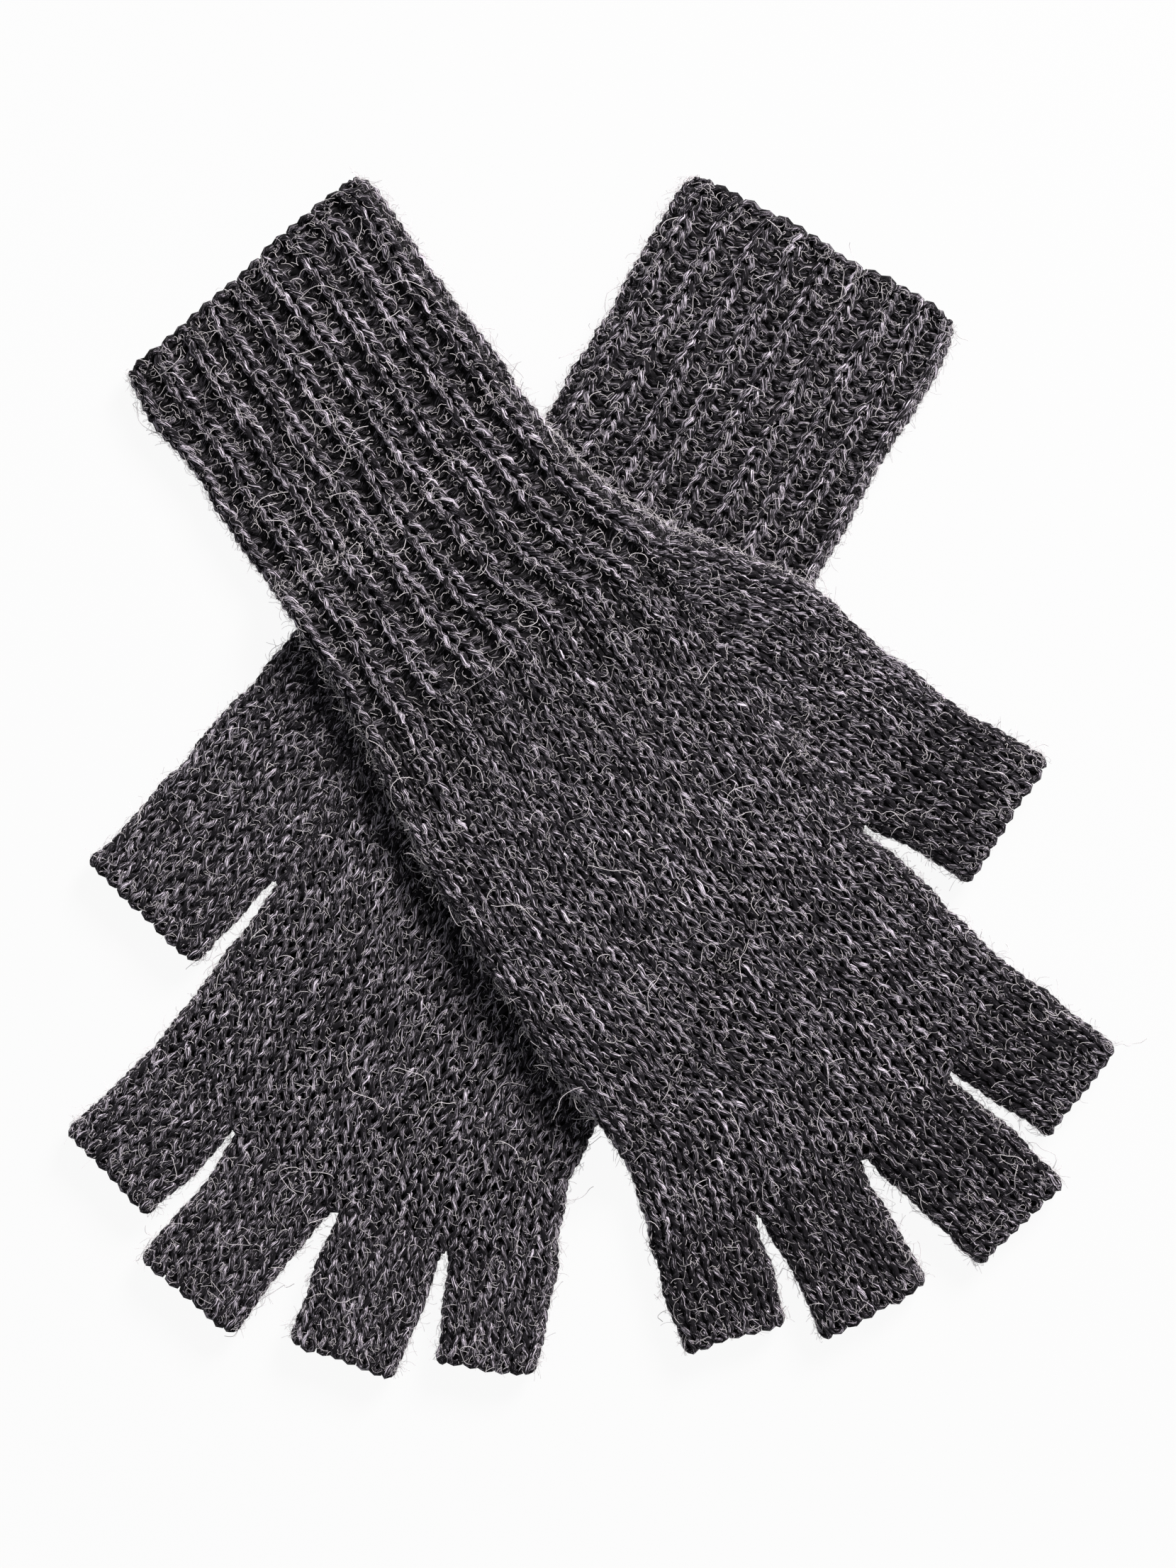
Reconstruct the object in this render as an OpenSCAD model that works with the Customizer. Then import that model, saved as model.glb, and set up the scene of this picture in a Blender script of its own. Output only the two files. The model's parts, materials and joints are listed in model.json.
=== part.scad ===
// A pair of knitted fingerless gloves lying flat, the right glove crossed over the left one.
// Millimetres. X and Y lie in the table top and Z points up. The table is at Z = 0.
//
// Every part of a glove is a flat tube: an upper and a lower layer of fabric with a hollow
// between them, joined by a rounded fold along each side. In a glove's own plane, "along" runs
// from the cuff's mouth to the fingers, and "across" runs towards the thumb. Both gloves are
// knitted to one pattern, so they share all sizes. They differ in how they lie: where, at what
// angle, and how far their digits are spread.

/* [Knit] */
// Thickness of one layer of the knitted fabric
fabric = 1.8; // [1.4:0.1:2.4]
// Height of the hollow between the two layers
hollow = 4.6; // [4.4:0.1:7]
// Clearance between sections that move against each other
gap = 0.3; // [0.2:0.1:0.6]

/* [Cuff] */
// Flat width of the ribbed cuff
cuff_w = 72; // [60:0.5:84]
// Whole ribbed length, from the mouth to the plain knit of the hand
rib_len = 104; // [90:1:130]
// Length of the part of the cuff that turns back
turn_len = 46; // [30:1:50]
// Length of the cast-on edge at the mouth
welt_len = 4; // [2:0.5:8]

/* [Hand] */
// Where the rib starts to widen towards the hand, along from the mouth
flare_along = 88; // [70:1:90]
// Little-finger side, across from the middle line, where the rib ends
heel_little = 38.5; // [34:0.5:44]
// Thumb side, across from the middle line, where the rib ends
heel_thumb = 48.5; // [42:0.5:52]
// Little-finger side across the palm
palm_little = 46; // [42:0.5:50]
// Hand length, from the end of the rib to the crotch between middle and ring finger
hand_len = 139; // [126:1:150]
// Place of that crotch, across from the middle line
crotch_across = 0; // [-4:0.5:4]
// Distance of the thumb's crotch beyond the end of the rib
thumb_crotch = 79; // [70:1:90]
// Place of the thumb's crotch, across from the middle line
thumb_across = 44; // [42:0.5:48]
// Distance beyond the end of the rib where the thumb gusset's edge bulges most
gusset_along = 25; // [20:1:32]
// How far the gusset stands out there beyond the end of the rib
gusset_out = 16; // [10:0.5:18]
// Length of the knuckle between the thumb's crotch and the index finger's side
knuckle_len = 11; // [8:1:16]
// How far the hand stands out at the little finger beyond the palm
little_flare = 4.5; // [2:0.5:6]

/* [Digits] */
// Thumb: width at the root
thumb_root = 35; // [28:0.5:38]
// Thumb: width at the open end
thumb_end = 33.5; // [26:0.5:36]
// Thumb: length
thumb_len = 25.5; // [18:0.5:40]
// Index finger: width at the root
index_root = 27.5; // [22:0.5:30]
// Index finger: width at the open end
index_end = 26.5; // [20:0.5:27]
// Index finger: length
index_len = 27; // [20:1:45]
// Middle finger: width at the root
middle_root = 28; // [22:0.5:30]
// Middle finger: width at the open end
middle_end = 27.5; // [20:0.5:28]
// Middle finger: length
middle_len = 36; // [20:1:50]
// Ring finger: width at the root
ring_root = 27; // [22:0.5:30]
// Ring finger: width at the open end
ring_end = 26.5; // [20:0.5:27]
// Ring finger: length
ring_len = 31; // [20:1:45]
// Little finger: width at the root
little_root = 26; // [20:0.5:28]
// Little finger: width at the open end
little_end = 24; // [18:0.5:26]
// Little finger: length
little_len = 24; // [18:1:40]
// Length of each digit's bound-off edge
edge_len = 3; // [2:0.5:5]
// How far a bound-off or cast-on edge stands out from the fabric beside it
edge_swell = 0.5; // [0.2:0.1:1]

/* [Spread of the right glove] */
// Thumb: angle from the hand's line
right_thumb = 24; // [16:0.5:32]
// Index finger: angle from the hand's line
right_index = 18.5; // [14:0.5:24]
// Middle finger: angle from the hand's line
right_middle = 11.7; // [9:0.1:13]
// Ring finger: angle from the hand's line
right_ring = -6.5; // [-9:0.5:0]
// Little finger: angle from the hand's line
right_little = -16.5; // [-22:0.5:-12]
// Turn of the hand at the wrist
right_bend = 0; // [-6:0.1:6]
// How much further the cuff's mouth reaches on the thumb side
right_skew = 8; // [-10:0.5:10]

/* [Spread of the left glove] */
// Thumb: angle from the hand's line
left_thumb = 18.5; // [16:0.5:32]
// Index finger: angle from the hand's line
left_index = 20.5; // [14:0.5:24]
// Middle finger: angle from the hand's line
left_middle = 12; // [9:0.1:13]
// Ring finger: angle from the hand's line
left_ring = -4.5; // [-9:0.5:0]
// Little finger: angle from the hand's line
left_little = -15.5; // [-22:0.5:-12]
// Turn of the hand at the wrist
left_bend = -4.3; // [-6:0.1:6]
// How much further the cuff's mouth reaches on the thumb side
left_skew = -1.5; // [-10:0.5:10]

/* [Layout] */
// Angle of the right glove's line from X
right_angle = -55; // [-60:0.5:-50]
// Middle of the right cuff's mouth, X
right_x = -78.4; // [-84:0.1:-74]
// Middle of the right cuff's mouth, Y
right_y = 112.4; // [108:0.1:118]
// Angle of the left glove's line from X
left_angle = -120; // [-124:0.5:-116]
// Middle of the left cuff's mouth, X
left_x = 52.8; // [47:0.1:57]
// Middle of the left cuff's mouth, Y
left_y = 118.5; // [115:0.1:125]
// Space between the left glove's top and the right glove's underside
lift_gap = 0.6; // [0.4:0.1:1.5]
// Distance from the left glove's side to where the right glove starts to come down
slope_start = 4; // [3:0.5:6]
// Width of the slope where the right glove comes down beside the left one
slope_w = 12; // [9:0.5:12]

/* [Hidden] */
SIDES = ["right", "left"];
DIGITS = ["little", "ring", "middle", "index", "thumb"];
SECTIONS = ["cuff_edge", "cuff_rib", "wrist_rib", "hand"];

LITTLE = 0;
MIDDLE = 2;
INDEX = 3;
THUMB = 4;

root_w = [little_root, ring_root, middle_root, index_root, thumb_root];
end_w = [little_end, ring_end, middle_end, index_end, thumb_end];
length = [little_len, ring_len, middle_len, index_len, thumb_len];
spread = [
    [right_little, right_ring, right_middle, right_index, right_thumb],
    [left_little, left_ring, left_middle, left_index, left_thumb]
];
bend = [right_bend, left_bend];
skew = [right_skew, left_skew];
mouth = [[right_x, right_y], [left_x, left_y]];
angle = [right_angle, left_angle];

thick = hollow + 2 * fabric;
fold_r = thick / 2;
lift = thick + lift_gap;
rib_colour = [0.23, 0.22, 0.24];
plain_colour = [0.29, 0.28, 0.30];
edge_colour = [0.17, 0.16, 0.18];

// ---- Small helpers ----

function mix(a, b, share) = a + (b - a) * share;
function ease(x) = let (c = max(0, min(1, x))) c * c * (3 - 2 * c);
function towards(a) = [cos(a), sin(a)];
function left_of(a) = [-sin(a), cos(a)];
function last(list) = list[len(list) - 1];
function reversed(list) = [for (i = [len(list) - 1 : -1 : 0]) list[i]];
function rest(list) = [for (i = [1 : len(list) - 1]) list[i]];
function steps(a, b, count) = [for (i = [0 : count]) mix(a, b, i / count)];

// ---- The glove's plan, in its own plane: [along, across] ----

// How far each side edge lies from the middle line, by the distance along. Between the named
// widths, the in-between points round the outline off by small steps and shares.
HEEL_SHARE = 0.22;
PALM_SHARE = 0.48;
WAIST_SHARE = 0.78;
LITTLE_SHARE = 0.93;
waist_step = 1;
flare_lead = [12, 20];
flare_step = [1, 4];
little_edge = [
    [0, cuff_w / 2],
    [flare_along - flare_lead[0], cuff_w / 2],
    [rib_len, heel_little],
    [rib_len + HEEL_SHARE * hand_len, mix(heel_little, palm_little, 0.68)],
    [rib_len + PALM_SHARE * hand_len, palm_little],
    [rib_len + WAIST_SHARE * hand_len, palm_little - waist_step],
    [rib_len + LITTLE_SHARE * hand_len, palm_little + little_flare]
];
gusset_tip = [rib_len + gusset_along, heel_thumb + gusset_out];
thumb_edge = [
    [0, cuff_w / 2],
    [flare_along - flare_lead[1], cuff_w / 2 + flare_step[0]],
    [flare_along, cuff_w / 2 + flare_step[1]],
    [rib_len, heel_thumb],
    gusset_tip,
    root_far_corner(0, THUMB)
];

// The roots of the four fingers follow each other from crotch to crotch. Each root line stands
// square to its finger. The chain is fixed at the crotch between middle and ring finger.
function finger_corner(side, i) =
    i == MIDDLE ? [rib_len + hand_len, crotch_across]
    : i < MIDDLE ? finger_corner(side, i + 1) - root_w[i] * left_of(spread[side][i])
    : finger_corner(side, i - 1) + root_w[i - 1] * left_of(spread[side][i - 1]);

// The little-finger end of a digit's root line.
function root_corner(side, i) =
    i == THUMB ? [rib_len + thumb_crotch, thumb_across] : finger_corner(side, i);
function root_far_corner(side, i) = root_corner(side, i) + root_w[i] * left_of(spread[side][i]);
function root_middle(side, i) = mix(root_corner(side, i), root_far_corner(side, i), 0.5);

// ---- Laying the plan on the table ----

// The turn of the knit at a distance along: none in the cuff, all of it in the hand.
function turn(side, along) =
    bend[side] * max(0, min(1, (along - turn_len) / (rib_len - turn_len)));

// A plan point, after the wrist is bent and before the glove is laid on the table.
function bent(side, p) =
    let (
        wrist = max(0, min(p[0], rib_len) - turn_len),
        beyond = max(0, p[0] - rib_len),
        a = turn(side, p[0])
    )
    [min(p[0], turn_len), 0] + wrist * towards(a / 2) + beyond * towards(a) + p[1] * left_of(a);

// The left glove is the mirror image of the right one.
function laid(side, p) =
    let (q = bent(side, p), a = angle[side], hand = side == 0 ? 1 : -1)
    mouth[side] + q[0] * towards(a) + hand * q[1] * left_of(a);

// How far a point on the table lies outside the left glove, to either side of it.
function outside_left(xy) =
    let (
        v = xy - mouth[1],
        along = v * towards(angle[1]),
        across = -(v * left_of(angle[1])),
        middle = bent(1, [along, 0]),
        t = ([along, across] - middle) * left_of(turn(1, along))
    )
    max(t - lookup(along, thumb_edge), -t - lookup(along, little_edge));

// Height of the right glove's underside: on top of the left glove, and down beside it.
function drape(side, xy) =
    side == 1 ? 0 : lift * (1 - ease((outside_left(xy) - slope_start) / slope_w));

// ---- The flat tube ----

// A fold's outline: distances from the side edge, and half-heights there, as shares of its radius.
fold_in = [0, 0.35, 1];
fold_up = [0.4, 0.8, 1];
outer_in = fold_in * fold_r;
inner_in = [for (x = fold_in) fabric + x * hollow / 2];

// A station is a line across a tube: [outer points, inner points, half-heights].
function fold_heights(columns, open) =
    concat(fold_up, [for (i = [1 : columns]) 1], open ? [1, 1, 1] : reversed(fold_up));

function across(a, b, inset, middle) =
    let (w = norm(b - a))
    [for (x = concat(inset, middle * w, [for (x = reversed(inset)) w - x])) mix(a, b, x / w)];

function station(a, b, columns) =
    let (middle = [for (i = [1 : columns]) i / (columns + 1)])
    [
        across(a, b, outer_in, middle),
        across(a, b, inner_in, middle),
        fold_heights(columns, false)
    ];

// Half-height of each of the four surfaces: outer top, inner top, inner bottom, outer bottom.
reach = [thick / 2, hollow / 2, -hollow / 2, -thick / 2];

function skin(side, stations, k, swell) = [
    for (s = stations)
        for (j = [0 : len(s[2]) - 1])
            let (
                xy = laid(side, k == 0 || k == 3 ? s[0][j] : s[1][j]),
                z = thick / 2 + reach[k] * s[2][j] + (k == 0 ? swell : 0)
            )
            [xy[0], xy[1], z + drape(side, xy)]
];

// Two triangles for each four-sided face.
function split(quads) = [for (q = quads) each [[q[0], q[1], q[2]], [q[0], q[2], q[3]]]];

// One closed solid from the four surfaces. Between the stations open_from and open_to, the
// side towards the thumb is left open.
module flat_tube(side, stations, open_from = 0, open_to = 0, swell = 0) {
    n = len(stations);
    m = len(stations[0][2]);
    function at(k, i, j) = (k * n + i) * m + j;
    function is_open(i) = i >= open_from && i < open_to;
    layers = [
        for (i = [0 : n - 2])
            for (j = [0 : m - 2])
                each [
                    [at(0, i, j), at(0, i, j + 1), at(0, i + 1, j + 1), at(0, i + 1, j)],
                    [at(1, i, j), at(1, i + 1, j), at(1, i + 1, j + 1), at(1, i, j + 1)],
                    [at(2, i, j), at(2, i, j + 1), at(2, i + 1, j + 1), at(2, i + 1, j)],
                    [at(3, i, j), at(3, i + 1, j), at(3, i + 1, j + 1), at(3, i, j + 1)]
                ]
    ];
    folds = [
        for (i = [0 : n - 2])
            each [
                [at(0, i, 0), at(0, i + 1, 0), at(3, i + 1, 0), at(3, i, 0)],
                [at(1, i, 0), at(2, i, 0), at(2, i + 1, 0), at(1, i + 1, 0)]
            ]
    ];
    e = m - 1;
    thumb_side = [
        for (i = [0 : n - 2])
            each is_open(i)
                ? [
                    [at(0, i + 1, e), at(0, i, e), at(1, i, e), at(1, i + 1, e)],
                    [at(2, i + 1, e), at(2, i, e), at(3, i, e), at(3, i + 1, e)]
                ]
                : [
                    [at(0, i, e), at(3, i, e), at(3, i + 1, e), at(0, i + 1, e)],
                    [at(1, i, e), at(1, i + 1, e), at(2, i + 1, e), at(2, i, e)]
                ]
    ];
    jambs = open_to > open_from
        ? [
            [at(0, open_from, e), at(3, open_from, e), at(2, open_from, e), at(1, open_from, e)],
            [at(0, open_to, e), at(1, open_to, e), at(2, open_to, e), at(3, open_to, e)]
        ]
        : [];
    function rim(i) = concat(
        [for (j = [0 : m - 2]) [at(0, i, j + 1), at(0, i, j), at(1, i, j), at(1, i, j + 1)]],
        [for (j = [0 : m - 2]) [at(2, i, j + 1), at(2, i, j), at(3, i, j), at(3, i, j + 1)]],
        [
            [at(1, i, 0), at(0, i, 0), at(3, i, 0), at(2, i, 0)],
            [at(0, i, e), at(1, i, e), at(2, i, e), at(3, i, e)]
        ]
    );
    quads = concat(
        layers, folds, thumb_side, jambs,
        rim(0),
        [for (q = rim(n - 1)) reversed(q)]
    );
    faces = split(side == 0 ? quads : [for (q = quads) reversed(q)]);
    polyhedron([for (k = [0 : 3]) each skin(side, stations, k, swell)], faces);
}

// ---- Cuff and wrist ----

// The mouth may lie askew. The skew dies out where the cuff turns back.
function rib_station(side, along, swell, columns) =
    let (
        slant = skew[side] * max(0, 1 - along / turn_len) / 2,
        a = [along + slant, -lookup(along, little_edge)],
        b = [along - slant, lookup(along, thumb_edge)],
        out = swell / norm(b - a)
    )
    station(mix(a, b, -out), mix(a, b, 1 + out), columns);

module cuff_edge(side) {
    color(edge_colour)
        flat_tube(side, [for (s = [0, welt_len]) rib_station(side, s, edge_swell, 1)], swell = edge_swell);
}

module cuff_rib(side) {
    color(rib_colour)
        flat_tube(side, [for (s = [welt_len, turn_len - gap]) rib_station(side, s, 0, 1)]);
}

module wrist_rib(side) {
    rows = side == 0 ? 12 : 4;
    columns = side == 0 ? 9 : 1;
    color(rib_colour)
        flat_tube(side, [for (s = steps(turn_len, rib_len, rows)) rib_station(side, s, 0, columns)]);
}

// ---- Hand ----

// The rows of the hand, from the heel to the fingers, and where among them things happen.
HEEL_ROWS = 4;
GUSSET_ROWS = 5;
THUMB_ROWS = 3;
KNUCKLE_ROWS = 2;
knuckle_step = 1.5;
FINGER_ROWS = 5;
THUMB_OPENS = HEEL_ROWS + GUSSET_ROWS;
THUMB_CLOSES = THUMB_OPENS + THUMB_ROWS;
FAN_STARTS = THUMB_CLOSES + KNUCKLE_ROWS;

// The hand's own lines across, as [little-finger end, thumb end]. The gusset widens it up to the
// thumb's root line, which is open, and beyond the thumb's crotch it runs on to the fingers.
function hand_lines(side) =
    let (
        heel = [rib_len, heel_thumb],
        root = root_far_corner(side, THUMB),
        crotch = root_corner(side, THUMB),
        index = root_far_corner(side, INDEX),
        knuckle = crotch + [knuckle_len, knuckle_step],
        little = root_corner(side, LITTLE),
        thumb_ends = concat(
            steps(heel, gusset_tip, HEEL_ROWS),
            rest(steps(gusset_tip, root, GUSSET_ROWS)),
            rest(steps(root, crotch, THUMB_ROWS)),
            rest(steps(crotch, knuckle, KNUCKLE_ROWS)),
            rest(steps(knuckle, index, FINGER_ROWS))
        ),
        last_row = len(thumb_ends) - 1
    )
    [
        for (i = [0 : last_row])
            let (s = mix(rib_len, little[0], i / last_row))
            [i == last_row ? little : [s, -lookup(s, little_edge)], thumb_ends[i]]
    ];

// Lines across meet the four root lines at the hand's end. A column is [finger, share of its root].
SHARES = 3;
HAND_COLUMNS = 4 * SHARES - 1;
function hand_columns(inset) =
    let (
        a = [for (x = inset) [0, x / little_root]],
        b = [for (x = inset) [3, 1 - x / index_root]],
        middle = [for (k = [1 : HAND_COLUMNS]) [floor(k / SHARES), (k % SHARES) / SHARES]]
    )
    concat(a, middle, reversed(b));

function finger_total(i) = i <= 0 ? 0 : finger_total(i - 1) + root_w[i - 1];

function hand_points(side, lines, i, columns, inset) =
    let (
        a = lines[i][0],
        b = lines[i][1],
        w = norm(b - a),
        m = len(columns),
        fan = ease((i - FAN_STARTS) / (len(lines) - 1 - FAN_STARTS))
    )
    [
        for (j = [0 : m - 1])
            let (
                c = columns[j],
                share = (finger_total(c[0]) + c[1] * root_w[c[0]]) / finger_total(4),
                x = j < 3 ? inset[j] : j > m - 4 ? w - inset[m - 1 - j] : share * w,
                on_root = mix(root_corner(side, c[0]), root_far_corner(side, c[0]), c[1]),
                on_chord = mix(last(lines)[0], last(lines)[1], x / w)
            )
            mix(a, b, x / w) + fan * (on_root - on_chord)
    ];

module hand(side) {
    lines = hand_lines(side);
    stations = [
        for (i = [0 : len(lines) - 1])
            [
                hand_points(side, lines, i, hand_columns(outer_in), outer_in),
                hand_points(side, lines, i, hand_columns(inner_in), inner_in),
                fold_heights(HAND_COLUMNS, i >= THUMB_OPENS && i <= THUMB_CLOSES)
            ]
    ];
    color(plain_colour)
        flat_tube(side, stations, THUMB_OPENS, THUMB_CLOSES);
}

// ---- Digits ----

// A line across a digit at a distance from its root line.
function digit_station(side, i, from_root, swell) =
    let (
        a = spread[side][i],
        middle = root_middle(side, i) + from_root * towards(a),
        half = mix(root_w[i], end_w[i], from_root / length[i]) / 2 - gap + swell
    )
    station(middle - half * left_of(a), middle + half * left_of(a), 1);

module digit(side, i) {
    color(plain_colour)
        flat_tube(side, [for (s = [gap, length[i] - edge_len]) digit_station(side, i, s, 0)]);
}

module digit_edge(side, i) {
    color(edge_colour)
        flat_tube(
            side,
            [for (s = [length[i] - edge_len, length[i]]) digit_station(side, i, s, edge_swell)],
            swell = edge_swell
        );
}

// ---- All parts ----

for (side = [0, 1]) {
    cuff_edge(side);
    cuff_rib(side);
    wrist_rib(side);
    hand(side);
    for (i = [0 : 4]) {
        digit(side, i);
        digit_edge(side, i);
    }
}
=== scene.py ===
# %% [markdown]
# # A pair of knitted fingerless gloves, lying crossed on a pale table
#
# The gloves are knitted from one heavy marled wool: long ribbed cuffs, a plain knitted hand, and
# five short open-ended tubes for the digits. What the eye reads as "knitted" is the yarn itself,
# so this lesson lays real yarn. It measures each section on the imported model, builds a smooth
# skin there whose UV map counts stitches, and lets Geometry Nodes lay every course of loops on it.
# A bump map on a plain tube would be quicker, but its outline would stay smooth, and the light
# could not fall between the stitches.

import json
import math

import bpy
import numpy as np
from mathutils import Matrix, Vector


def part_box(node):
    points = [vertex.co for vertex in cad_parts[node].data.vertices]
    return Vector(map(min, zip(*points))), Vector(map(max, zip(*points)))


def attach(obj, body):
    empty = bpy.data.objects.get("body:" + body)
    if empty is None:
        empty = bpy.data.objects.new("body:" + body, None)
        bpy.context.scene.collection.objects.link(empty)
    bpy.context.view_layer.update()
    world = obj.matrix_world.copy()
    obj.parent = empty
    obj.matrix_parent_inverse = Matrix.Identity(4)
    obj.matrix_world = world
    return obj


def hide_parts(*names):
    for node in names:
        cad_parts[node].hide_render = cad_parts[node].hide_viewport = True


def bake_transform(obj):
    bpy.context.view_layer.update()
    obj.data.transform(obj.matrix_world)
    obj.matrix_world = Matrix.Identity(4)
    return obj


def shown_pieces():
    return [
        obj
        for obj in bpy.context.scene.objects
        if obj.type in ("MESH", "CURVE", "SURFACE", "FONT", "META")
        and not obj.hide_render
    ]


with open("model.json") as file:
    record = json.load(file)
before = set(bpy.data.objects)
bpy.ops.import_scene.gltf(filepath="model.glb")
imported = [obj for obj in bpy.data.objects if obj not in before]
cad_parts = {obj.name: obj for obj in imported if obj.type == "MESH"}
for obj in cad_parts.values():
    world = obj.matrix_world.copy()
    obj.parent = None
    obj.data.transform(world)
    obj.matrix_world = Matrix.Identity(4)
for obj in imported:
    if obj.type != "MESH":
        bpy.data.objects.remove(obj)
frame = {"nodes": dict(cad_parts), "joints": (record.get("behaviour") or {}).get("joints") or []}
bpy.context.view_layer.update()

MM = 0.001
put_in_scene = bpy.context.scene.collection.objects.link
joints = {joint["name"]: joint for joint in frame["joints"]}

# %% [markdown]
# ## Camera, light and table
#
# The pair is seen from straight above. A long lens keeps the outline true while the cuffs still
# show a trace of their thickness. Wool needs light from one side to show its loops, so one large
# soft lamp stands high on the upper right. A bright sky fills the rest, because the table is
# almost white and nearly free of shadow.

# %% Camera
VIEW_HEIGHT = 353.9 * MM
VIEW_CENTRE = (-0.8 * MM, -2.2 * MM)
CAMERA_HEIGHT = 1.1
PICTURE_PLANE = 8 * MM

camera_data = bpy.data.cameras.new("camera")
camera_data.sensor_width = 36
camera_data.lens = camera_data.sensor_width * (CAMERA_HEIGHT - PICTURE_PLANE) / VIEW_HEIGHT
camera = bpy.data.objects.new("camera", camera_data)
camera.location = (*VIEW_CENTRE, CAMERA_HEIGHT)
put_in_scene(camera)
bpy.context.scene.camera = camera
print("lens, mm:", round(camera_data.lens, 1))


# %% Lamps and sky
def lamp(name, place, size, power, colour):
    """A square area lamp that looks at the middle of the table."""
    data = bpy.data.lights.new(name, "AREA")
    data.size = size
    data.energy = power
    data.color = colour
    made = bpy.data.objects.new(name, data)
    made.location = place
    made.rotation_mode = "QUATERNION"
    made.rotation_quaternion = made.location.to_track_quat("Z", "Y")
    put_in_scene(made)
    print(name, "stands", round(made.location.length, 2), "m away")


lamp("key_lamp", (1.05, 1.5, 1.3), 0.8, 97, (1.0, 0.97, 0.975))
lamp("fill_lamp", (-0.8, -0.5, 0.9), 0.9, 2.4, (0.93, 0.96, 1.0))

sky = bpy.data.worlds.new("sky")
sky.use_nodes = True
sky.node_tree.nodes["Background"].inputs["Color"].default_value = (0.95, 0.97, 1.0, 1)
sky.node_tree.nodes["Background"].inputs["Strength"].default_value = 0.14
bpy.context.scene.world = sky
bpy.context.scene.view_settings.view_transform = "Standard"

# %% [markdown]
# ## Measuring the frame
#
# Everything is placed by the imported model. Each digit has a hinge on its root line, and each cuff
# has one where it turns back, so the hinges give the root lines and the directions. The side
# edges come from slices: a plane across a section cuts its mesh, and the outermost cuts are the
# two edges there.

# %% Slices and hinge lines
SIDES = ("right", "left")
DIGITS = ("little", "ring", "middle", "index", "thumb")


def hinge_line(name):
    """The middle of a hinge's line and the direction that its part points in, in plan."""
    joint = joints[name]
    outward = np.array([-joint["axis"][1], joint["axis"][0]])
    return np.array(joint["pos_m"][:2]), outward / np.linalg.norm(outward)


def thumbward(side, along):
    """The direction across a glove towards its thumb."""
    return np.array([-along[1], along[0]]) * (1 if side == "right" else -1)


def mesh_points(name):
    data = frame["nodes"][name].data
    points = np.zeros(len(data.vertices) * 3)
    data.vertices.foreach_get("co", points)
    return points.reshape(-1, 3)


def mesh_edges(name):
    data = frame["nodes"][name].data
    edges = np.zeros(len(data.edges) * 2, int)
    data.edges.foreach_get("vertices", edges)
    return mesh_points(name)[edges.reshape(-1, 2)]


def edge_line(names, origin, along, across, start, stop, outer, count=28):
    """Points of a side edge between two distances along: outer is -1 or 1, by the side."""
    ends = np.concatenate([mesh_edges(name)[:, :, :2] for name in names]) - origin
    s, t = ends @ along, ends @ across
    found = []
    for distance in np.linspace(start, stop, count):
        cuts = (s[:, 0] - distance) * (s[:, 1] - distance) < 0
        share = (distance - s[cuts, 0]) / (s[cuts, 1] - s[cuts, 0])
        reach = t[cuts, 0] + share * (t[cuts, 1] - t[cuts, 0])
        if len(reach):
            found.append(origin + distance * along + outer * np.max(outer * reach) * across)
    return np.array(found)


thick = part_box("left_hand")[1].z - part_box("left_hand")[0].z
print("thickness of a glove, mm:", round(thick / MM, 2))

# %% [markdown]
# ## How the upper glove drapes
#
# The right glove crosses the left one. Its fabric lies on top of the left glove and slopes down
# to the table beside it. The slope depends only on the distance outside the left glove's side, so
# one function gives the height for every point of the right glove.

# %% The drape
left_cuff_hinge, left_cuff_way = hinge_line("left_cuff_turn")
left_along = -left_cuff_way
left_across = thumbward("left", left_along)
LEFT_REACH = np.linspace(-45 * MM, 122 * MM, 60)
left_parts = ["left_cuff_edge", "left_cuff_rib", "left_wrist_rib", "left_hand"]
left_sides = [
    (edge_line(left_parts, left_cuff_hinge, left_along, left_across, *LEFT_REACH[[0, -1]], outer, 60)
     - left_cuff_hinge) @ left_across
    for outer in (-1, 1)
]
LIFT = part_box("right_hand")[1].z - thick
SLOPE_START = 4 * MM
SLOPE_WIDTH = 12 * MM


def ease(x):
    clipped = np.clip(x, 0, 1)
    return clipped * clipped * (3 - 2 * clipped)


def drape(side, xy):
    """Height of a glove's underside above the table at points in plan."""
    if side == "left":
        return np.zeros(len(xy))
    s = (xy - left_cuff_hinge) @ left_along
    t = (xy - left_cuff_hinge) @ left_across
    low, high = (np.interp(s, LEFT_REACH, sides) for sides in left_sides)
    outside = np.maximum(t - high, low - t)
    return LIFT * (1 - ease((outside - SLOPE_START) / SLOPE_WIDTH))


print("lift of the upper glove, mm:", round(LIFT / MM, 2))

# %% [markdown]
# ## The skins that carry the knit
#
# A skin is the mid-surface of one section's fabric. It is made of rows, each a line across the
# section. A ring of points runs round each row, from the first edge over the back, down the
# second fold and back under the palm. Its UV map counts stitches, wales round the ring and
# courses along, which is all that the knitting needs to know. Each skin reaches one course past
# its ends, so that neighbouring sections interlock as real courses do.

# %% Gauge and thickness
WALE = 3.5 * MM
COURSE = 3.15 * MM
RIB_COURSE = 2.8 * MM
YARN = 0.78 * MM
LOOP_DEPTH = 0.48 * MM
FABRIC_OUT = YARN + LOOP_DEPTH
BEND = thick / 2 - FABRIC_OUT
QUARTER = np.linspace(0, 1, 5)
LONG_WANDER, SHORT_WANDER = 0.45, 0.3
print("bend of the yarn's mid-surface at a fold, mm:", round(BEND / MM, 2))


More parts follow.
